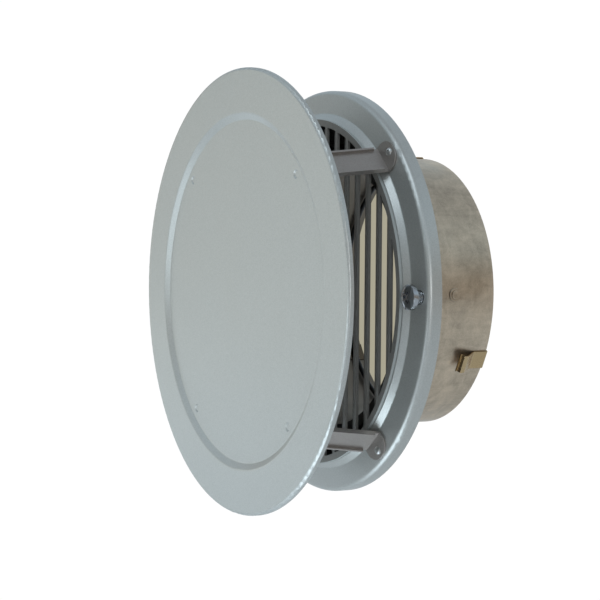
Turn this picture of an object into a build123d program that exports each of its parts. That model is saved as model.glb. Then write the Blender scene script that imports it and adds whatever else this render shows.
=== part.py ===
from build123d import *
import os
from math import atan, degrees, radians, sin, sqrt

# Round flat-cover air diffuser for a 100 mm duct.
# Frame, in millimetres: the Y axis is the duct's axis. Y = 0 is the wall face that the diffuser
# rests on, -Y points out into the open and +Y into the duct. +Z is up.
# A profile is drawn in the XY plane as (radius, y) and revolved about Y.

# Tools that cut holes: deeper than any sheet, and as wide as the whole sleeve
CUT_DEPTH = 12.0
CUT_REACH = 60.0

# Sleeve, the tube that goes into the duct
SLEEVE_RADIUS = 49.0
SLEEVE_WALL = 0.6
SLEEVE_LENGTH = 36.5
SLEEVE_FRONT = -0.8
SLEEVE_FLANGE_RADIUS = 51.5
SLEEVE_BEND = 0.5

# Base ring, a pressed sheet
RING_SHEET = 0.8
RING_RADIUS = 72.3
RING_FRONT = -5.1
BEVEL_FOOT_RADIUS = 63.7
BEVEL_FOOT = -6.7
BEVEL_TOP_RADIUS = 61.7
SEAT_FRONT = -8.9
SEAT_INNER_RADIUS = 60.2
RING_BENDS = [1.5, 1.0, 0.5]

# Louvre plate
PLATE_RADIUS = 61.9
PLATE_FRONT = -9.9
SLOT_CIRCLE_RADIUS = 59.6
SLOT_PITCH = 7.35
SLOT_WIDTH = 6.0
SLOT_CORNER = 0.4
SLOTS_EACH_SIDE = 8
BLADE_WIDTH = 6.0
BLADE_SHEET = 0.5
BLADE_ANGLE = 23.5
BLADE_SET_BACK = 0.2
BLADE_END_GAP = 1.2

# Face plate
FACE_RADIUS = 78.9
FACE_FRONT = -39.2
FACE_SHEET = 0.8
FACE_LIP = 2.0
RECESS_DEPTH = 1.4
RECESS_OUTER_RADIUS = 63.2
RECESS_INNER_RADIUS = 60.8
FACE_BEND = 0.5
RECESS_BEND = 1.0

# Legs
LEG_ANGLES = {"upper_right": 45.0, "upper_left": 135.0, "lower_left": 231.0, "lower_right": 309.0}
LEG_SHEET = 0.8
LEG_WIDTH = 10.6
LEG_LEAN = 0.15
LEG_WEB_RADIUS = 64.2
LEG_LIP = 1.0
LEG_LIP_END_GAP = 1.6
FOOT_LENGTH = 6.6
FOOT_WIDTH = 11.4
FOOT_ROUNDING = 4.8
TAB_LENGTH = 11.0
TAB_ROUNDING = 3.4
CLINCH_RADIUS = 57.2
CLINCH_SIZE = 1.8
CLINCH_DEPTH = 0.35
CLINCH_FLOOR = 0.6
CUT_OVERLAP = 0.1

# Foot rivets
FOOT_RIVET_RADIUS = 68.3
RIVET_HEAD = 1.5
RIVET_SHANK = 1.0
RIVET_HEAD_HEIGHT = 0.6
RIVET_DOME = 0.75
CLOSED_HEAD_SHARE = 0.85

# Mounting plate
MOUNT_SHEET = 1.0
MOUNT_RADIUS = 70.6
MOUNT_STEP_INNER = 52.2
MOUNT_STEP_OUTER = 53.2
MOUNT_STEP_BEND = 0.8
TONGUE_WIDTH = 14.0
TONGUE_END = 25.0
TONGUE_SHEET = 0.7
TONGUE_REACH = 20.0
COLLAR_RADIUS = 3.0
COLLAR_FRONT = -4.4

# Sleeve rivets
SLEEVE_RIVET_Y = 20.3
SLEEVE_RIVET_HEAD = 2.35
SLEEVE_RIVET_BUTTON = 1.5
SLEEVE_RIVET_SHANK = 1.6
SLEEVE_RIVET_FLAT = 0.4
SLEEVE_RIVET_PROUD = 0.8
SLEEVE_RIVET_ROOT = 0.3
SLEEVE_RIVET_TAIL = 0.6
SLEEVE_RIVET_TAIL_GAP = 0.15
SLEEVE_RIVET_EDGE = 0.2

# Fixing screws, M4, and their washers
SCREW_CIRCLE = 67.5
SCREW_RADIUS = 2.0
THREAD_CLEARANCE = 0.05
SCREW_HOLE_RADIUS = 2.4
SCREW_SEAT = -8.7
SCREW_LENGTH = 6.5
SCREW_HEAD_RADIUS = 4.2
SCREW_HEAD_HEIGHT = 2.6
SCREW_CROWN_SHARE = 0.62
SCREW_CROWN_DROP = 0.22
SCREW_TIP_CHAMFER = 0.4
RECESS_SPAN = 5.2
RECESS_TIP = 1.8
RECESS_ARM = 1.25
RECESS_CUT = 1.7
WASHER_RADIUS = 3.1
WASHER_BORE = 2.3
WASHER_SHEET = 0.6
WASHER_GAP = 0.05

# Spring clips
CLIP_ANGLES = {"right": -28.0, "top": 92.0, "left": 212.0}
CLIP_SHEET = 0.5
CLIP_WIDTH = 6.8
CLIP_INNER_END = 30.0
CLIP_BEND = 31.4
CLIP_SEAM = 0.3
CLIP_CREST_RADIUS = 52.3
CLIP_TIP_RADIUS = 51.2
CLIP_HOOK_BEND = 0.4
LEAF_LIFT = 0.25
LEAF_LIFT_Y = CLIP_BEND - 0.8
LEAF_SHOULDER_DROP = 0.4
LEAF_SHOULDER_Y = CLIP_BEND - 4.0
LEAF_CREST_Y = CLIP_BEND - 5.2
LEAF_TIP_Y = CLIP_BEND - 6.6
LEAF_BENDS = [0.5, 0.9, 0.7]
OUTER_CLEARANCE = 0.05
INNER_CLEARANCE = 0.15

# Retaining ring inside the sleeve
WIRE_RADIUS = 0.9
WIRE_Y = 32.2


def revolved(profile):
    """Turn a face in the XY plane about the Y axis."""
    return revolve(profile, axis=Axis.Y, revolution_arc=360)


def band(r_in, r_out, y_front, y_back):
    """A plain ring, square in section."""
    wide = r_out - r_in
    deep = y_back - y_front
    return revolved(Pos((r_in + r_out) / 2, (y_front + y_back) / 2) * Rectangle(wide, deep))


def prism(sketch, y_front, y_back):
    """Carry a sketch of (x, z) from y_front back to y_back."""
    return extrude(Plane.XZ.offset(-y_back) * sketch, amount=y_back - y_front)


def bar_y(radius, y_front, y_back, x=0.0, z=0.0):
    """A round bar along Y."""
    return prism(Pos(x, z) * Circle(radius), y_front, y_back)


def bar_x(radius, x_start, x_end, y):
    """A round bar along X, at height y on the Y axis."""
    return extrude(Plane.YZ.offset(x_start) * Pos(y, 0) * Circle(radius), amount=x_end - x_start)


def turned(shape, angle):
    """Swing a shape from the +X axis to the given angle, counted from +X towards +Z."""
    return Rot(0, -angle, 0) * shape


def ring_corners():
    """Where the base ring's cone meets the wall and the bevel, on the sheet's mid-line."""
    half = RING_SHEET / 2
    return Vector(RING_RADIUS - half, RING_FRONT + half), Vector(BEVEL_FOOT_RADIUS, BEVEL_FOOT + half)


def on_cone(radius):
    """Place on the base ring's cone: x runs outwards along it, and -y points out of it."""
    outer, inner = ring_corners()
    slope = (outer.Y - inner.Y) / (outer.X - inner.X)
    mid_y = inner.Y + slope * (radius - inner.X)
    return Pos(radius, mid_y, 0) * Rot(0, 0, degrees(atan(slope))) * Pos(0, -RING_SHEET / 2, 0)


# ---------------------------------------------------------------- cover

def face_plate():
    half = FACE_SHEET / 2
    centre_y = FACE_FRONT + RECESS_DEPTH + half
    rim_y = FACE_FRONT + half
    section = FilletPolyline(
        (0, centre_y),
        (RECESS_INNER_RADIUS, centre_y),
        (RECESS_OUTER_RADIUS, rim_y),
        (FACE_RADIUS - half, rim_y),
        (FACE_RADIUS - half, FACE_FRONT + FACE_LIP),
        radius=[RECESS_BEND, RECESS_BEND, FACE_BEND],
    )
    plate = revolved(trace(section, FACE_SHEET))
    dimple_y = FACE_FRONT + RECESS_DEPTH
    for angle in LEG_ANGLES.values():
        dimple = revolved(make_face(Polyline(
            (0, dimple_y - CUT_OVERLAP),
            (CLINCH_SIZE, dimple_y - CUT_OVERLAP),
            (CLINCH_SIZE * CLINCH_FLOOR, dimple_y + CLINCH_DEPTH),
            (0, dimple_y + CLINCH_DEPTH),
            close=True,
        )))
        plate -= turned(Pos(CLINCH_RADIUS, 0, 0) * dimple, angle)
    return plate


def leg_foot():
    """Foot tab, flat on the base ring's cone, with its heel at the web."""
    outline = Pos(FOOT_LENGTH / 2, 0) * Rectangle(FOOT_LENGTH, FOOT_WIDTH)
    outline = fillet(outline.vertices().group_by(Axis.X)[-1], FOOT_ROUNDING)
    return on_cone(LEG_WEB_RADIUS) * prism(outline, -LEG_SHEET, 0)


def leaning_slab(y_front, y_back, x_from, x_to, z_low, z_high):
    """A slab along the leaning web from y_front to y_back, its x counted from the web's inner side."""
    floor_y = on_cone(LEG_WEB_RADIUS).position.Y
    front_x = LEG_WEB_RADIUS - LEG_LEAN * (floor_y - y_front)
    back_x = LEG_WEB_RADIUS - LEG_LEAN * (floor_y - y_back)
    outline = make_face(Polyline(
        (front_x + x_from, y_front),
        (front_x + x_to, y_front),
        (back_x + x_to, y_back),
        (back_x + x_from, y_back),
        close=True,
    ))
    return Pos(0, 0, z_low) * extrude(outline, amount=z_high - z_low)


def leg():
    """One leg on the +X axis: face tab inwards, leaning web, foot tab outwards."""
    half = LEG_WIDTH / 2
    tab_front = FACE_FRONT + RECESS_DEPTH + FACE_SHEET
    tab_back = tab_front + LEG_SHEET
    floor_y = on_cone(LEG_WEB_RADIUS).position.Y
    web = leaning_slab(tab_front, floor_y, 0, LEG_SHEET, -half, half)
    tab_outer = LEG_WEB_RADIUS - LEG_LEAN * (floor_y - tab_front) + LEG_SHEET
    tab_outline = Pos(tab_outer - TAB_LENGTH / 2, 0) * Rectangle(TAB_LENGTH, LEG_WIDTH)
    tab_outline = fillet(tab_outline.vertices().group_by(Axis.X)[0], TAB_ROUNDING)
    tab = prism(tab_outline, tab_front, tab_back)
    lip_front = tab_back + LEG_LIP_END_GAP
    lip_back = floor_y - LEG_SHEET - LEG_LIP_END_GAP
    lips = [
        leaning_slab(lip_front, lip_back, 0, LEG_SHEET + LEG_LIP, z_low, z_low + LEG_SHEET)
        for z_low in (-half, half - LEG_SHEET)
    ]
    body = web + tab + leg_foot() + lips
    return body - foot_rivet_hole()


def foot_rivet_hole():
    """Cutter for a foot rivet's hole, through foot and base ring."""
    return on_cone(FOOT_RIVET_RADIUS) * bar_y(RIVET_SHANK, -CUT_DEPTH / 4, CUT_DEPTH / 4)


def foot_rivet():
    """Domed rivet through a foot and the base ring, on the +X axis."""
    crown = -LEG_SHEET - RIVET_HEAD_HEIGHT
    shoulder = (RIVET_HEAD * RIVET_DOME, crown + RIVET_HEAD_HEIGHT * (1 - RIVET_DOME))
    dome = revolved(make_face([
        ThreePointArc((0, crown), shoulder, (RIVET_HEAD, -LEG_SHEET)),
        Line((RIVET_HEAD, -LEG_SHEET), (0, -LEG_SHEET)),
        Line((0, -LEG_SHEET), (0, crown)),
    ]))
    shank = bar_y(RIVET_SHANK, -LEG_SHEET, RING_SHEET)
    closed_head = bar_y(RIVET_HEAD * CLOSED_HEAD_SHARE, RING_SHEET, RING_SHEET + RIVET_HEAD_HEIGHT)
    return on_cone(FOOT_RIVET_RADIUS) * (dome + shank + closed_head)


def base_ring():
    half = RING_SHEET / 2
    outer, inner = ring_corners()
    section = FilletPolyline(
        (outer.X, 0),
        outer,
        inner,
        (BEVEL_TOP_RADIUS, SEAT_FRONT + half),
        (SEAT_INNER_RADIUS, SEAT_FRONT + half),
        radius=RING_BENDS,
    )
    ring = revolved(trace(section, RING_SHEET))
    for side in (-1, 1):
        ring -= bar_y(SCREW_HOLE_RADIUS, -CUT_DEPTH, 0, x=side * SCREW_CIRCLE)
    for angle in LEG_ANGLES.values():
        ring -= turned(foot_rivet_hole(), angle)
    return ring


def slot_outline(centre):
    """One upright slot, its ends cut to the slot circle and its corners rounded."""
    strip = Pos(centre, 0) * Rectangle(SLOT_WIDTH, 2 * SLOT_CIRCLE_RADIUS)
    shape = Circle(SLOT_CIRCLE_RADIUS) & strip
    return offset(offset(shape, amount=-SLOT_CORNER), amount=SLOT_CORNER, kind=Kind.ARC)


def blade_reach(x):
    """Half of a blade's length at x, just short of the slot circle."""
    return sqrt(SLOT_CIRCLE_RADIUS ** 2 - x ** 2) - BLADE_END_GAP


def blade(centre):
    """Blade hinged on the slot's +X side, leaning back towards -X, its ends cut along the slot circle."""
    root_x = centre + SLOT_WIDTH / 2
    root_reach = blade_reach(root_x)
    tip_reach = blade_reach(centre - SLOT_WIDTH / 2)
    outline = make_face(Polyline(
        (0, root_reach),
        (-BLADE_WIDTH, tip_reach),
        (-BLADE_WIDTH, -tip_reach),
        (0, -root_reach),
        close=True,
    ))
    strip = prism(outline, 0, BLADE_SHEET)
    root = Pos(root_x + BLADE_SHEET * sin(radians(BLADE_ANGLE)), PLATE_FRONT + BLADE_SET_BACK, 0)
    return root * Rot(0, 0, -BLADE_ANGLE) * strip


def louvre_plate():
    plate = Circle(PLATE_RADIUS)
    centres = [SLOT_PITCH * step for step in range(-SLOTS_EACH_SIDE, SLOTS_EACH_SIDE + 1)]
    for centre in centres:
        plate -= slot_outline(centre)
    body = prism(plate, PLATE_FRONT, SEAT_FRONT)
    for centre in centres[1:-1]:
        body += blade(centre)
    return body


# ---------------------------------------------------------------- sleeve side

def rivet_bore():
    """Cutter for both sleeve rivets' holes."""
    return bar_x(SLEEVE_RIVET_SHANK, -CUT_REACH, CUT_REACH, SLEEVE_RIVET_Y)


def mounting_plate():
    """Joggled ring: its inner part backs the sleeve's flange, its outer part lies on the wall face."""
    half = MOUNT_SHEET / 2
    bore = SLEEVE_RADIUS - SLEEVE_WALL
    inner_y = SLEEVE_FRONT - half
    section = FilletPolyline(
        (bore, inner_y),
        (MOUNT_STEP_INNER, inner_y),
        (MOUNT_STEP_OUTER, -half),
        (MOUNT_RADIUS, -half),
        radius=[MOUNT_STEP_BEND, MOUNT_STEP_BEND],
    )
    plate = revolved(trace(section, MOUNT_SHEET))
    tongue_tube = band(bore - TONGUE_SHEET, bore, SLEEVE_FRONT - MOUNT_SHEET, TONGUE_END)
    for side in (-1, 1):
        reach = Pos(side * SLEEVE_RADIUS, 0, 0) * Box(TONGUE_REACH, 4 * TONGUE_END, TONGUE_WIDTH)
        plate += tongue_tube & reach
        plate += bar_y(COLLAR_RADIUS, COLLAR_FRONT, 0, x=side * SCREW_CIRCLE)
        plate -= bar_y(SCREW_RADIUS + THREAD_CLEARANCE, -CUT_DEPTH, CUT_DEPTH, x=side * SCREW_CIRCLE)
    return plate - rivet_bore()


def sleeve():
    half = SLEEVE_WALL / 2
    section = FilletPolyline(
        (SLEEVE_FLANGE_RADIUS, SLEEVE_FRONT + half),
        (SLEEVE_RADIUS - half, SLEEVE_FRONT + half),
        (SLEEVE_RADIUS - half, SLEEVE_LENGTH),
        radius=[SLEEVE_BEND],
    )
    return revolved(trace(section, SLEEVE_WALL)) - rivet_bore()


def sleeve_rivet():
    """Flat rivet through the sleeve and a tongue, on the +X axis."""
    inside = SLEEVE_RADIUS - SLEEVE_WALL - TONGUE_SHEET
    tail_end = inside - SLEEVE_RIVET_TAIL
    root = SLEEVE_RADIUS + SLEEVE_RIVET_ROOT
    shank = bar_x(SLEEVE_RIVET_SHANK, tail_end, root, SLEEVE_RIVET_Y)
    head = bar_x(SLEEVE_RIVET_HEAD, SLEEVE_RADIUS, SLEEVE_RADIUS + SLEEVE_RIVET_FLAT, SLEEVE_RIVET_Y)
    head = chamfer(head.edges().group_by(Axis.X)[-1], SLEEVE_RIVET_EDGE)
    button = bar_x(SLEEVE_RIVET_BUTTON, root, SLEEVE_RADIUS + SLEEVE_RIVET_PROUD, SLEEVE_RIVET_Y)
    button = fillet(button.edges().group_by(Axis.X)[-1], SLEEVE_RIVET_EDGE)
    tail = bar_x(SLEEVE_RIVET_HEAD, tail_end, inside - SLEEVE_RIVET_TAIL_GAP, SLEEVE_RIVET_Y)
    return shank + head + button + tail


def retaining_ring():
    centre = SLEEVE_RADIUS - SLEEVE_WALL - INNER_CLEARANCE - CLIP_SHEET - WIRE_RADIUS
    return revolved(Pos(centre, WIRE_Y) * Circle(WIRE_RADIUS))


# ---------------------------------------------------------------- spring clips

def strip_from(section, angle):
    """Thicken a clip's centre line, give it its width and swing it to its place."""
    flat = extrude(trace(section, CLIP_SHEET), amount=CLIP_WIDTH / 2, both=True)
    return turned(flat, angle)


def clip_hook(angle):
    half = CLIP_SHEET / 2
    inner = SLEEVE_RADIUS - SLEEVE_WALL - INNER_CLEARANCE - half
    outer = SLEEVE_RADIUS + OUTER_CLEARANCE + half
    over = SLEEVE_LENGTH + OUTER_CLEARANCE + half
    section = FilletPolyline(
        (inner, CLIP_INNER_END),
        (inner, over),
        (outer, over),
        (outer, CLIP_BEND + CLIP_SEAM / 2),
        radius=[CLIP_HOOK_BEND, CLIP_HOOK_BEND],
    )
    return strip_from(section, angle)


def clip_leaf(angle):
    outer = SLEEVE_RADIUS + OUTER_CLEARANCE + CLIP_SHEET / 2
    section = FilletPolyline(
        (outer, CLIP_BEND - CLIP_SEAM / 2),
        (outer + LEAF_LIFT, LEAF_LIFT_Y),
        (CLIP_CREST_RADIUS - LEAF_SHOULDER_DROP, LEAF_SHOULDER_Y),
        (CLIP_CREST_RADIUS, LEAF_CREST_Y),
        (CLIP_TIP_RADIUS, LEAF_TIP_Y),
        radius=LEAF_BENDS,
    )
    return strip_from(section, angle)


# ---------------------------------------------------------------- screws

def screw_recess(crown):
    """Cutter for the cross recess: two tapered wedges, a quarter turn apart."""
    wedge = extrude(make_face(Polyline(
        (-RECESS_SPAN / 2, crown - CUT_OVERLAP),
        (RECESS_SPAN / 2, crown - CUT_OVERLAP),
        (RECESS_TIP / 2, crown + RECESS_CUT),
        (-RECESS_TIP / 2, crown + RECESS_CUT),
        close=True,
    )), amount=RECESS_ARM / 2, both=True)
    return turned(wedge, 45) + turned(wedge, 135)


def fixing_screw():
    """M4 pan-head screw on the Y axis, head towards -Y, standing proud of the ring."""
    crown = SCREW_SEAT - SCREW_HEAD_HEIGHT
    edge = SCREW_SEAT - SCREW_HEAD_HEIGHT * SCREW_CROWN_SHARE
    halfway = (SCREW_HEAD_RADIUS * SCREW_CROWN_SHARE, crown + SCREW_CROWN_DROP)
    head = revolved(make_face([
        ThreePointArc((0, crown), halfway, (SCREW_HEAD_RADIUS, edge)),
        Polyline((SCREW_HEAD_RADIUS, edge), (SCREW_HEAD_RADIUS, SCREW_SEAT), (0, SCREW_SEAT)),
        Line((0, SCREW_SEAT), (0, crown)),
    ]))
    shank = bar_y(SCREW_RADIUS, SCREW_SEAT, SCREW_SEAT + SCREW_LENGTH)
    shank = chamfer(shank.edges().group_by(Axis.Y)[-1], SCREW_TIP_CHAMFER)
    return head + shank - screw_recess(crown)


def washer():
    y_front = SCREW_SEAT + WASHER_GAP
    return band(WASHER_BORE, WASHER_RADIUS, y_front, y_front + WASHER_SHEET)


# ---------------------------------------------------------------- output

def build():
    nodes = {
        "face_plate": face_plate(),
        "base_ring": base_ring(),
        "louvre_plate": louvre_plate(),
        "foot_rivets": Compound(children=[turned(foot_rivet(), angle) for angle in LEG_ANGLES.values()]),
        "mounting_plate": mounting_plate(),
        "sleeve": sleeve(),
        "sleeve_rivets": Compound(children=[turned(sleeve_rivet(), angle) for angle in (0, 180)]),
        "clip_retaining_ring": retaining_ring(),
    }
    for name, angle in LEG_ANGLES.items():
        nodes[f"leg_{name}"] = turned(leg(), angle)
    for name, angle in CLIP_ANGLES.items():
        nodes[f"clip_hook_{name}"] = clip_hook(angle)
        nodes[f"clip_leaf_{name}"] = clip_leaf(angle)
    for name, side in (("right", 1), ("left", -1)):
        nodes[f"screw_{name}"] = Pos(side * SCREW_CIRCLE, 0, 0) * fixing_screw()
        nodes[f"washer_{name}"] = Pos(side * SCREW_CIRCLE, 0, 0) * washer()
    return nodes


def main():
    os.makedirs("parts", exist_ok=True)
    for name, shape in build().items():
        export_step(shape, f"parts/{name}.step")


if __name__ == "__main__":
    main()
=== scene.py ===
"""Looks of the flat-cover air diffuser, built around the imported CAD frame.

Everything is in metres in the CAD's frame: +Y runs along the duct's axis into the duct, -Y out towards
the flat cover, +Z up. Constants below are in millimetres and degrees unless they say otherwise.
"""
import bpy
import math
from mathutils import Matrix, Vector


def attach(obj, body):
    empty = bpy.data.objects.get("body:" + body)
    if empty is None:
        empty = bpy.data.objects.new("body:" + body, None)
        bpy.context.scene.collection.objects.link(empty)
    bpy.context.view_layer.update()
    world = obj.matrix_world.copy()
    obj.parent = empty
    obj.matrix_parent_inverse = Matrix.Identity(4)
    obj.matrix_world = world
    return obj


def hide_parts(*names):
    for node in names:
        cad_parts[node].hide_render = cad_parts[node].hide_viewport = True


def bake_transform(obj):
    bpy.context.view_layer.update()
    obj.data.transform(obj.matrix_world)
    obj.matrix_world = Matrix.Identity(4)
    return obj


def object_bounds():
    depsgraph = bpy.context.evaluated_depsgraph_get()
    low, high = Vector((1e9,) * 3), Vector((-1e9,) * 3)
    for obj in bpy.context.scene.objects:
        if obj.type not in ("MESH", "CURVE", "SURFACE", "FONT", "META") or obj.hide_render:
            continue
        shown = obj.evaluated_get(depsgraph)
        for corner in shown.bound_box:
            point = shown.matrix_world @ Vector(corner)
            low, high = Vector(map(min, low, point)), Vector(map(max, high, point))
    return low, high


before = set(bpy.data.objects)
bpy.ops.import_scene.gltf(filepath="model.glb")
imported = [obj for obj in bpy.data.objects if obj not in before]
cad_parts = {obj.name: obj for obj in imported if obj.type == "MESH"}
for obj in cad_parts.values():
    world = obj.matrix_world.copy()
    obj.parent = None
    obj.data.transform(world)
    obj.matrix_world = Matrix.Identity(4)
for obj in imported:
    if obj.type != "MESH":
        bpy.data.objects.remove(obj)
cad_low, cad_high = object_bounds()

MM = 0.001

# Camera: where it stands, seen from the frame's origin
CAMERA_AZIMUTH = 61.61
CAMERA_ELEVATION = 1.99
CAMERA_ROLL = 0.46
CAMERA_DISTANCE = 640.1
CAMERA_SHIFT = (-12.29, -3.26)
CAMERA_LENS = 105.46
SENSOR = 36.0
VIEW_NEAR, VIEW_FAR = 0.01, 50.0    # metres

# Light of the studio, by height: colours, and the heights (0 level, 1 straight up) that they stand at
HORIZON_LIGHT = (0.40, 0.37, 0.325)
HIGH_LIGHT = (0.62, 0.76, 0.86)
ZENITH_LIGHT = (0.40, 0.44, 0.48)
HORIZON_TOP = 0.15
HIGH_TOP = 0.5
PAPER_WHITE = 1.02

# Floor, in metres: a round disc below the object, with as many sides as the backdrop
FLOOR_RADIUS = 1.3
FLOOR_DROP = 0.08
DISC_SIDES = 96
FLOOR_TONE = 0.80
FLOOR_ROUGHNESS = 0.9
FLOOR_GLOW = 0.10

# Round soft lights: name, place and aim in metres, width in metres, power in watts, colour
LIGHTS = [
    ("key", (-1.7, -1.3, -0.3), (0, 0, 0), 1.9, 5.6, (0.86, 0.98, 1.0)),
    ("edge", (1.5, -0.27, 0.1), (0, 0, 0), 0.45, 2.6, (0.92, 0.97, 1.0)),
    ("top", (0.28, -0.90, 1.12), (0, 0, 0), 0.8, 3.3, (0.80, 0.92, 1.0)),
    ("low", (0.00, -0.32, -0.152), (0.0, -0.18, 0), 0.46, 0.8, (0.80, 0.93, 1.0)),
    ("step", (-0.44, -0.08, -0.152), (-0.3, -0.06, 0), 0.4, 0.2, (0.80, 0.93, 1.0)),
    ("rear", (-1.1, 1.4, 0.5), (0, 0, 0), 1.0, 2.5, (1.0, 0.98, 0.94)),
    ("glint", (0.036, -0.078, -0.152), (0.036, -0.078, 0), 0.11, 0.085, (0.75, 0.90, 1.0)),
]

# The warm backdrop that shows through the louvres, across the sleeve's rear mouth
BACKDROP_RADIUS = 48.35
BACKDROP_Y = 36.4
BACKDROP_COLOUR = (0.40, 0.376, 0.283)

# Paint, in metres: width of its flakes, and depth of its orange peel and of its flakes
FLAKE_SIZE = 0.00022
PAINT_RELIEF = 0.000006

# Plain metal: width of its grain in metres, and how far its tone strays
METAL_GRAIN = 0.0006
METAL_CONTRAST = 0.15

# Rounding of sharp edges on the legs and screws, with the reach, in metres, that joins the mesh's seams first
EDGE_ROUNDING = 0.16
EDGE_SEGMENTS = 2
EDGE_ANGLE = 40
WELD_REACH = 0.000002

# A colour mix node's sockets
MIX_FIRST, MIX_SECOND, MIX_RESULT = 6, 7, 2

# Sleeve: radius where its inside ends and its outside begins, and the painted shade tone of its inside,
# darkened for the shadow within the tube
SLEEVE_INSIDE = 48.45
SLEEVE_OUTSIDE = 48.85
SLEEVE_PAINTED_SHADE = (0.17, 0.145, 0.115)

# Louvre plate: radius of its rim, and of the start of its rim's tone, the plain silver that takes over from
# the plate's painted shade
PLATE_RIM = 61.85
PLATE_RIM_START = 61.75

# Spring clips: their angles, and their centre line as (radius, y) with the radius of each bend
CLIPS = {"right": -28.0, "top": 92.0, "left": 212.0}
CLIP_WIDTH = 6.8
CLIP_SHEET = 0.5
CLIP_EDGE = 0.11
CLIP_LINE = [(48.0, 30.0), (48.0, 36.8), (49.3, 36.8), (49.3, 31.25), (49.55, 30.6),
             (51.9, 27.4), (52.25, 26.0), (50.7, 25.35), (50.95, 24.6)]
CLIP_BENDS = [0.5, 0.5, 0.8, 0.6, 0.7, 0.45, 0.3]

# Screws: their circle, then the thread's radius at its root and crest, its pitch, its reach along Y,
# half of its width at root and crest, its steps to a turn, and the steps that its ends fade over
SCREW_CIRCLE = 67.5
THREAD_ROOT = 1.94
THREAD_CREST = 2.16
THREAD_PITCH = 0.7
THREAD_FROM = -8.1
THREAD_TO = -2.9
THREAD_HALF_ROOT = 0.27
THREAD_HALF_CREST = 0.06
THREAD_STEPS = 40
THREAD_FADE = 20


# ------------------------------------------------------------------ camera and studio

def camera_axes():
    azimuth = math.radians(CAMERA_AZIMUTH)
    elevation = math.radians(CAMERA_ELEVATION)
    roll = math.radians(CAMERA_ROLL)
    back = Vector((math.sin(azimuth) * math.cos(elevation),
                   -math.cos(azimuth) * math.cos(elevation),
                   math.sin(elevation)))
    right = Vector((math.cos(azimuth), math.sin(azimuth), 0.0))
    up = back.cross(right)
    rolled_right = right * math.cos(roll) + up * math.sin(roll)
    rolled_up = up * math.cos(roll) - right * math.sin(roll)
    return rolled_right, rolled_up, back


def make_camera():
    right, up, back = camera_axes()
    place = (back * CAMERA_DISTANCE + right * CAMERA_SHIFT[0] + up * CAMERA_SHIFT[1]) * MM
    data = bpy.data.cameras.new("camera")
    data.lens = CAMERA_LENS
    data.sensor_width = SENSOR
    data.clip_start = VIEW_NEAR
    data.clip_end = VIEW_FAR
    camera = bpy.data.objects.new("camera", data)
    camera.matrix_world = Matrix.Translation(place) @ Matrix((right, up, back)).transposed().to_4x4()
    bpy.context.scene.collection.objects.link(camera)
    bpy.context.scene.camera = camera


def area_light(name, place, target, size, power, colour):
    data = bpy.data.lights.new(name, "AREA")
    data.shape = "DISK"
    data.size = size
    data.energy = power
    data.color = colour
    light = bpy.data.objects.new(name, data)
    light.location = place
    aim = Vector(target) - Vector(place)
    light.rotation_euler = aim.to_track_quat("-Z", "Y").to_euler()
    light.visible_camera = False
    bpy.context.scene.collection.objects.link(light)


def make_world():
    """White to the camera; its light is dim at the horizon and brighter higher up."""
    world = bpy.data.worlds.new("studio")
    bpy.context.scene.world = world
    world.use_nodes = True
    nodes, links = world.node_tree.nodes, world.node_tree.links
    nodes.clear()
    coords = nodes.new("ShaderNodeTexCoord")
    split = nodes.new("ShaderNodeSeparateXYZ")
    links.new(coords.outputs["Generated"], split.inputs[0])
    ramp = nodes.new("ShaderNodeValToRGB")
    links.new(split.outputs["Z"], ramp.inputs["Fac"])
    stops = ramp.color_ramp.elements
    stops[0].position, stops[0].color = 0.0, (*HORIZON_LIGHT, 1)
    stops[1].position, stops[1].color = 1.0, (*ZENITH_LIGHT, 1)
    for position, colour in ((HORIZON_TOP, HORIZON_LIGHT), (HIGH_TOP, HIGH_LIGHT)):
        stop = stops.new(position)
        stop.color = (*colour, 1)
    light = nodes.new("ShaderNodeBackground")
    links.new(ramp.outputs["Color"], light.inputs["Color"])
    paper = nodes.new("ShaderNodeBackground")
    paper.inputs["Color"].default_value = (PAPER_WHITE, PAPER_WHITE, PAPER_WHITE, 1)
    path = nodes.new("ShaderNodeLightPath")
    choose = nodes.new("ShaderNodeMixShader")
    links.new(path.outputs["Is Camera Ray"], choose.inputs[0])
    links.new(light.outputs[0], choose.inputs[1])
    links.new(paper.outputs[0], choose.inputs[2])
    out = nodes.new("ShaderNodeOutputWorld")
    links.new(choose.outputs[0], out.inputs["Surface"])


def disc_turns():
    """Angles of the corners of a stage disc."""
    return [math.tau * k / DISC_SIDES for k in range(DISC_SIDES)]


def stage_disc(name, rim, material):
    """A flat disc that belongs to the studio."""
    mesh = bpy.data.meshes.new(name)
    mesh.from_pydata(rim, [], [range(DISC_SIDES)])
    mesh.materials.append(material)
    disc = bpy.data.objects.new(name, mesh)
    bpy.context.scene.collection.objects.link(disc)


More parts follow.
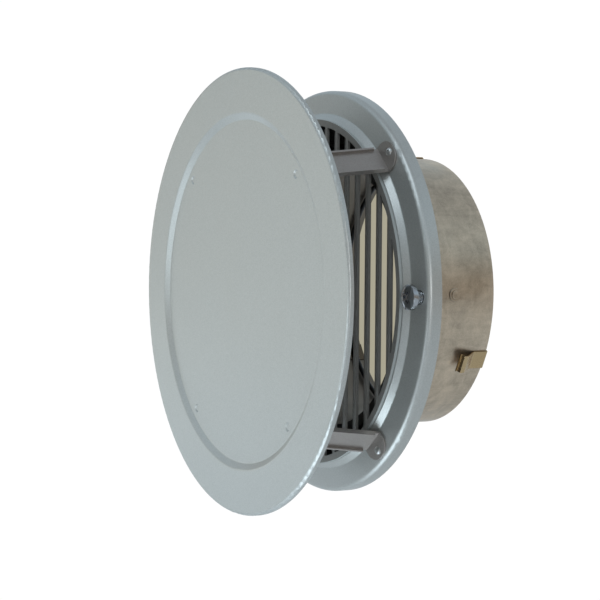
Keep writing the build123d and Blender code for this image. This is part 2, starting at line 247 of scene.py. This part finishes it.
def make_floor():
    """A round white floor under the object; its own glow keeps it white to the camera."""
    z = cad_low.z - FLOOR_DROP
    rim = [(FLOOR_RADIUS * math.cos(a), FLOOR_RADIUS * math.sin(a), z) for a in disc_turns()]
    material = bpy.data.materials.new("floor_white")
    material.use_nodes = True
    nodes, links = material.node_tree.nodes, material.node_tree.links
    shader = nodes["Principled BSDF"]
    shader.inputs["Base Color"].default_value = (FLOOR_TONE, FLOOR_TONE, FLOOR_TONE, 1)
    shader.inputs["Roughness"].default_value = FLOOR_ROUGHNESS
    shader.inputs["Emission Color"].default_value = (1.0, 1.0, 1.0, 1)
    shader.inputs["Emission Strength"].default_value = FLOOR_GLOW
    white = nodes.new("ShaderNodeEmission")
    white.inputs["Strength"].default_value = PAPER_WHITE
    path = nodes.new("ShaderNodeLightPath")
    choose = nodes.new("ShaderNodeMixShader")
    links.new(path.outputs["Is Camera Ray"], choose.inputs[0])
    links.new(shader.outputs[0], choose.inputs[1])
    links.new(white.outputs[0], choose.inputs[2])
    # clear from below, so that the object's underside can be looked at
    side = nodes.new("ShaderNodeNewGeometry")
    clear = nodes.new("ShaderNodeBsdfTransparent")
    above = nodes.new("ShaderNodeMixShader")
    links.new(side.outputs["Backfacing"], above.inputs[0])
    links.new(choose.outputs[0], above.inputs[1])
    links.new(clear.outputs[0], above.inputs[2])
    links.new(above.outputs[0], nodes["Material Output"].inputs["Surface"])
    stage_disc("floor", rim, material)


def make_backdrop():
    """A plain warm disc across the sleeve's rear mouth; only the camera sees it, and only from the front."""
    radius, y = BACKDROP_RADIUS * MM, BACKDROP_Y * MM
    rim = [(radius * math.cos(a), y, radius * math.sin(a)) for a in disc_turns()]
    material = bpy.data.materials.new("backdrop_warm")
    material.use_nodes = True
    nodes, links = material.node_tree.nodes, material.node_tree.links
    nodes.remove(nodes["Principled BSDF"])
    warm = nodes.new("ShaderNodeEmission")
    warm.inputs["Color"].default_value = (*BACKDROP_COLOUR, 1)
    clear = nodes.new("ShaderNodeBsdfTransparent")
    path = nodes.new("ShaderNodeLightPath")
    side = nodes.new("ShaderNodeNewGeometry")
    seen = nodes.new("ShaderNodeMath")
    seen.operation = "SUBTRACT"
    seen.use_clamp = True
    links.new(path.outputs["Is Camera Ray"], seen.inputs[0])
    links.new(side.outputs["Backfacing"], seen.inputs[1])
    choose = nodes.new("ShaderNodeMixShader")
    links.new(seen.outputs[0], choose.inputs[0])
    links.new(clear.outputs[0], choose.inputs[1])
    links.new(warm.outputs[0], choose.inputs[2])
    links.new(choose.outputs[0], nodes["Material Output"].inputs["Surface"])
    stage_disc("backdrop", rim, material)


# ------------------------------------------------------------------ materials

class Shader:
    """A node material with short ways to add textures."""

    def __init__(self, name, base, metallic, roughness):
        self.material = bpy.data.materials.new(name)
        self.material.use_nodes = True
        self.nodes = self.material.node_tree.nodes
        self.links = self.material.node_tree.links
        self.bsdf = self.nodes["Principled BSDF"]
        self.bsdf.inputs["Base Color"].default_value = (*base, 1)
        self.bsdf.inputs["Metallic"].default_value = metallic
        self.bsdf.inputs["Roughness"].default_value = roughness
        self.coords = self.nodes.new("ShaderNodeTexCoord").outputs["Object"]
        self.height = None

    def noise(self, size, detail, roughness=0.5, stretch=None, distortion=0.0):
        """Noise whose grains are about size metres, stretched along the given axes."""
        node = self.nodes.new("ShaderNodeTexNoise")
        node.inputs["Scale"].default_value = 1.0 / size
        node.inputs["Detail"].default_value = detail
        node.inputs["Roughness"].default_value = roughness
        node.inputs["Distortion"].default_value = distortion
        if stretch:
            scale = self.nodes.new("ShaderNodeMapping")
            scale.inputs["Scale"].default_value = stretch
            self.links.new(self.coords, scale.inputs["Vector"])
            self.links.new(scale.outputs[0], node.inputs["Vector"])
        else:
            self.links.new(self.coords, node.inputs["Vector"])
        return node.outputs["Fac"]

    def radius(self):
        """Distance from the duct's axis, in metres."""
        flat = self.nodes.new("ShaderNodeVectorMath")
        flat.operation = "MULTIPLY"
        flat.inputs[1].default_value = (1, 0, 1)
        self.links.new(self.coords, flat.inputs[0])
        length = self.nodes.new("ShaderNodeVectorMath")
        length.operation = "LENGTH"
        self.links.new(flat.outputs[0], length.inputs[0])
        return length.outputs["Value"]

    def flakes(self, size):
        """Cells about size metres wide, each with a random value."""
        node = self.nodes.new("ShaderNodeTexVoronoi")
        node.inputs["Scale"].default_value = 1.0 / size
        self.links.new(self.coords, node.inputs["Vector"])
        split = self.nodes.new("ShaderNodeSeparateColor")
        self.links.new(node.outputs["Color"], split.inputs[0])
        return split.outputs[0]

    def remap(self, value, low, high, start=0.0, end=1.0):
        """Carry low..high to start..end, and hold it there."""
        node = self.nodes.new("ShaderNodeMapRange")
        node.inputs["From Min"].default_value = low
        node.inputs["From Max"].default_value = high
        node.inputs["To Min"].default_value = start
        node.inputs["To Max"].default_value = end
        self.links.new(value, node.inputs["Value"])
        return node.outputs[0]

    def math(self, operation, a, b):
        """One sum or product of two values, each a number or an output."""
        node = self.nodes.new("ShaderNodeMath")
        node.operation = operation
        for socket, value in zip(node.inputs, (a, b)):
            if isinstance(value, (int, float)):
                socket.default_value = value
            else:
                self.links.new(value, socket)
        return node.outputs[0]

    def weighted(self, *parts):
        """Sum of values, each times its weight."""
        total = None
        for value, weight in parts:
            share = self.math("MULTIPLY", value, weight)
            total = share if total is None else self.math("ADD", total, share)
        return total

    def mix(self, factor, first, second):
        """Blend of two colours, each a plain colour or an output."""
        node = self.nodes.new("ShaderNodeMix")
        node.data_type = "RGBA"
        self.links.new(factor, node.inputs[0])
        for socket, value in ((node.inputs[MIX_FIRST], first), (node.inputs[MIX_SECOND], second)):
            if isinstance(value, tuple):
                socket.default_value = (*value, 1)
            else:
                self.links.new(value, socket)
        return node.outputs[MIX_RESULT]

    def colour(self, value):
        self.links.new(value, self.bsdf.inputs["Base Color"])

    def rough(self, value):
        self.links.new(value, self.bsdf.inputs["Roughness"])

    def bump(self, value, depth, strength):
        """Add a relief, depth metres deep, over those before it."""
        node = self.nodes.new("ShaderNodeBump")
        node.inputs["Distance"].default_value = depth
        node.inputs["Strength"].default_value = strength
        self.links.new(value, node.inputs["Height"])
        if self.height is not None:
            self.links.new(self.height, node.inputs["Normal"])
        self.height = node.outputs[0]
        self.links.new(self.height, self.bsdf.inputs["Normal"])


def shades(base, dark, light):
    """A darker and a lighter tone of a colour."""
    return tuple(c * dark for c in base), tuple(min(1.0, c * light) for c in base)


def silver_paint(name, base, metallic, roughness, rim=None):
    """Satin metallic paint: fine flakes, a faint orange peel, slow cloudiness. rim is the rim's own tone;
    inside the rim the given base stays, which on the louvre plate is a darker painted shade.
    """
    s = Shader(name, base, metallic, roughness)
    dark, light = shades(base, 0.86, 1.12)
    flake = s.flakes(FLAKE_SIZE)
    cloud = s.noise(0.035, 2.0)
    paint = s.mix(s.weighted((flake, 0.7), (cloud, 0.3)), dark, light)
    if rim:
        paint = s.mix(s.remap(s.radius(), PLATE_RIM_START * MM, PLATE_RIM * MM), paint, rim)
    s.colour(paint)
    s.rough(s.math("ADD", s.remap(cloud, 0.3, 0.7, roughness - 0.03, roughness + 0.03),
                   s.math("MULTIPLY", flake, 0.05)))
    s.bump(s.noise(0.0011, 2.0), PAINT_RELIEF, 0.6)
    s.bump(flake, PAINT_RELIEF, 0.5)
    return s.material


def sheet_steel(name, base, metallic, roughness):
    """Mill-finish steel: rolling streaks both ways, mottled patches and scuffs; painted shade inside the
    tube, darker for the shadow within it.
    """
    s = Shader(name, base, metallic, roughness)
    dark, light = shades(base, 0.66, 1.25)
    around = s.noise(0.003, 4.0, 0.62, (0.18, 1.0, 0.18), 0.3)
    along = s.noise(0.0024, 4.0, 0.62, (1.0, 0.10, 1.0), 0.3)
    patch = s.noise(0.016, 5.0, 0.62, None, 0.8)
    blot = s.noise(0.005, 3.0, 0.6, None, 1.2)
    fine = s.noise(0.00045, 2.0)
    tone = s.weighted((around, 0.15), (along, 0.15), (patch, 0.36), (blot, 0.20), (fine, 0.14))
    tone = s.remap(tone, 0.38, 0.62)
    # the inside of the tube gets a darker tone: painted shade for the shadow within it
    outside = s.remap(s.radius(), SLEEVE_INSIDE * MM, SLEEVE_OUTSIDE * MM)
    unshaded_steel = s.mix(tone, dark, light)
    s.colour(s.mix(outside, SLEEVE_PAINTED_SHADE, unshaded_steel))
    s.rough(s.remap(patch, 0.3, 0.7, roughness - 0.08, roughness + 0.12))
    s.bump(patch, 0.00022, 0.4)
    s.bump(blot, 0.00005, 0.35)
    s.bump(along, 0.00001, 0.4)
    return s.material


def plain_metal(name, base, metallic, roughness, inside_painted_shade=None):
    """Plain metal with fine and slow unevenness. The optional inside tone is painted shade on its part within
    the sleeve, where the tube shadows it.
    """
    s = Shader(name, base, metallic, roughness)
    dark, light = shades(base, 1 - METAL_CONTRAST, 1 + METAL_CONTRAST)
    fine = s.noise(METAL_GRAIN, 3.0)
    slow = s.noise(METAL_GRAIN * 12, 2.0)
    metal = s.mix(s.weighted((fine, 0.5), (slow, 0.5)), dark, light)
    # within the sleeve the colour turns to the painted shade tone
    if inside_painted_shade:
        metal = s.mix(s.remap(s.radius(), SLEEVE_INSIDE * MM, SLEEVE_OUTSIDE * MM), inside_painted_shade, metal)
    s.colour(metal)
    s.rough(s.remap(slow, 0.3, 0.7, roughness * 0.85, roughness * 1.2))
    s.bump(fine, 0.000008, 0.5)
    return s.material


def finish_node(node, material, edge=None):
    """Give a CAD node its material, and round its sharp edges by edge millimetres."""
    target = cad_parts[node]
    target.data.materials.clear()
    target.data.materials.append(material)
    if edge:
        weld = target.modifiers.new("weld", "WELD")
        weld.merge_threshold = WELD_REACH
        bevel = target.modifiers.new("bevel", "BEVEL")
        bevel.width = edge * MM
        bevel.segments = EDGE_SEGMENTS
        bevel.limit_method = "ANGLE"
        bevel.angle_limit = math.radians(EDGE_ANGLE)
        bevel.harden_normals = True


# ------------------------------------------------------------------ pieces

def add_mesh(name, vertices, faces, material, flat_angle):
    """A new piece from vertices in metres, with edges sharper than flat_angle degrees left sharp."""
    mesh = bpy.data.meshes.new(name)
    mesh.from_pydata(vertices, [], faces)
    mesh.validate()
    mesh.shade_smooth()
    mesh.set_sharp_from_angle(angle=math.radians(flat_angle))
    mesh.materials.append(material)
    piece = bpy.data.objects.new(name, mesh)
    bpy.context.scene.collection.objects.link(piece)
    return piece


def rounded_path(points, radii, step=math.radians(10)):
    """A bent line through the points, each inner corner turned into an arc."""
    line = [Vector(points[0])]
    for before, corner, after, radius in zip(points, points[1:], points[2:], radii):
        corner = Vector(corner)
        back = (Vector(before) - corner).normalized()
        ahead = (Vector(after) - corner).normalized()
        opening = back.angle(ahead)
        reach = radius / math.tan(opening / 2)
        centre = corner + (back + ahead).normalized() * (radius / math.sin(opening / 2))
        start, end = corner + back * reach - centre, corner + ahead * reach - centre
        sweep = start.angle_signed(end)
        count = max(2, math.ceil(abs(sweep) / step))
        for k in range(count + 1):
            turn = Matrix.Rotation(-sweep * k / count, 2)
            line.append(centre + turn @ start)
    line.append(Vector(points[-1]))
    return line


def sweep_strip(line, width, thickness, edge):
    """Vertices and faces of a flat strip along a line of (radius, y), with eased edges."""
    half_w, half_t = width / 2, thickness / 2
    section = [(-half_w, -half_t + edge), (-half_w + edge, -half_t),
               (half_w - edge, -half_t), (half_w, -half_t + edge),
               (half_w, half_t - edge), (half_w - edge, half_t),
               (-half_w + edge, half_t), (-half_w, half_t - edge)]
    vertices, faces = [], []
    for k, point in enumerate(line):
        ahead = (line[min(k + 1, len(line) - 1)] - line[max(k - 1, 0)]).normalized()
        normal = Vector((-ahead.y, ahead.x))
        for across, off in section:
            place = point + normal * off
            vertices.append((place.x, place.y, across))
    n = len(section)
    for k in range(len(line) - 1):
        for i in range(n):
            j = (i + 1) % n
            faces.append((k * n + i, k * n + j, (k + 1) * n + j, (k + 1) * n + i))
    faces.append(tuple(reversed(range(n))))
    faces.append(tuple(range((len(line) - 1) * n, len(line) * n)))
    return vertices, faces


def clip_strip(name, angle):
    """One bent spring strip: over the sleeve's rim, along its outside, up to a crest and to a curled tip."""
    line = rounded_path(CLIP_LINE, CLIP_BENDS)
    vertices, faces = sweep_strip(line, CLIP_WIDTH, CLIP_SHEET, CLIP_EDGE)
    turn = Matrix.Rotation(-math.radians(angle), 3, "Y")
    vertices = [turn @ (Vector(v) * MM) for v in vertices]
    strip = add_mesh(f"clip_strip_{name}", vertices, faces, BRONZE, 40)
    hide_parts(f"clip_hook_{name}", f"clip_leaf_{name}")
    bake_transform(strip)


def thread_ridge(name, side):
    """The screw's right-hand thread, a ridge wound round the shank."""
    count = int((THREAD_TO - THREAD_FROM) / THREAD_PITCH * THREAD_STEPS)
    section = [(THREAD_ROOT, -THREAD_HALF_ROOT), (THREAD_CREST, -THREAD_HALF_CREST),
               (THREAD_CREST, THREAD_HALF_CREST), (THREAD_ROOT, THREAD_HALF_ROOT)]
    vertices, faces = [], []
    for k in range(count + 1):
        turn = math.tau * k / THREAD_STEPS
        y = THREAD_FROM + THREAD_PITCH * k / THREAD_STEPS
        fade = min(1.0, k / THREAD_FADE, (count - k) / THREAD_FADE)
        for radius, off in section:
            r = THREAD_ROOT + (radius - THREAD_ROOT) * fade
            x = side * SCREW_CIRCLE + r * math.sin(turn)
            vertices.append(Vector((x, y + off, r * math.cos(turn))) * MM)
    n = len(section)
    for k in range(count):
        for i in range(n):
            j = (i + 1) % n
            faces.append((k * n + i, (k + 1) * n + i, (k + 1) * n + j, k * n + j))
    faces.append(tuple(range(n)))
    faces.append(tuple(reversed(range(count * n, count * n + n))))
    ridge = add_mesh(f"screw_thread_{name}", vertices, faces, CHROME, 25)
    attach(ridge, f"screw_{name}_body")


# ------------------------------------------------------------------ the scene

make_camera()
make_world()
make_floor()
make_backdrop()
bpy.context.scene.view_settings.view_transform = "Standard"
for light in LIGHTS:
    area_light(*light)

SILVER = silver_paint("silver_paint", (0.435, 0.44, 0.425), 0.62, 0.34)
# The louvre plate is a darker copy of the silver paint: painted shade for the plate in the cover's shadow;
# its rim keeps the silver tone.
LOUVRE_PAINTED_SHADE = silver_paint("louvre_paint", (0.27, 0.26, 0.245), 0.5, 0.46, (0.43, 0.45, 0.44))
LEG = silver_paint("leg_paint", (0.335, 0.305, 0.285), 0.75, 0.32)
RIVET = plain_metal("rivet_metal", (0.42, 0.42, 0.41), 0.9, 0.3)
STEEL = sheet_steel("sleeve_steel", (0.525, 0.430, 0.328), 0.9, 0.36)
# The mounting plate is painted near-black: painted shade for the dark cavity behind the ends of the louvre
# slots.
MOUNT_PAINTED_SHADE = plain_metal("mount_black", (0.03, 0.029, 0.028), 0.4, 0.45)
WIRE = plain_metal("dark_wire", (0.015, 0.015, 0.015), 0.3, 0.5)
# the clips' parts within the sleeve get a darker tone: painted shade for the tube's inside
BRONZE = plain_metal("spring_strip", (0.47, 0.34, 0.19), 0.95, 0.24, inside_painted_shade=(0.10, 0.075, 0.05))
CHROME = plain_metal("screw_chrome", (0.38, 0.39, 0.41), 1.0, 0.13)
NYLON = plain_metal("washer_nylon", (0.75, 0.76, 0.76), 0.0, 0.45)

for name in ("face_plate", "base_ring"):
    finish_node(name, SILVER)
finish_node("louvre_plate", LOUVRE_PAINTED_SHADE)
for name in ("upper_right", "upper_left", "lower_left", "lower_right"):
    finish_node(f"leg_{name}", LEG, EDGE_ROUNDING)
finish_node("foot_rivets", RIVET)
finish_node("sleeve_rivets", STEEL)
finish_node("sleeve", STEEL)
finish_node("mounting_plate", MOUNT_PAINTED_SHADE)
finish_node("clip_retaining_ring", WIRE)
for name, side in (("right", 1), ("left", -1)):
    finish_node(f"screw_{name}", CHROME, EDGE_ROUNDING)
    finish_node(f"washer_{name}", NYLON)
    thread_ridge(name, side)
for name, angle in CLIPS.items():
    clip_strip(name, angle)
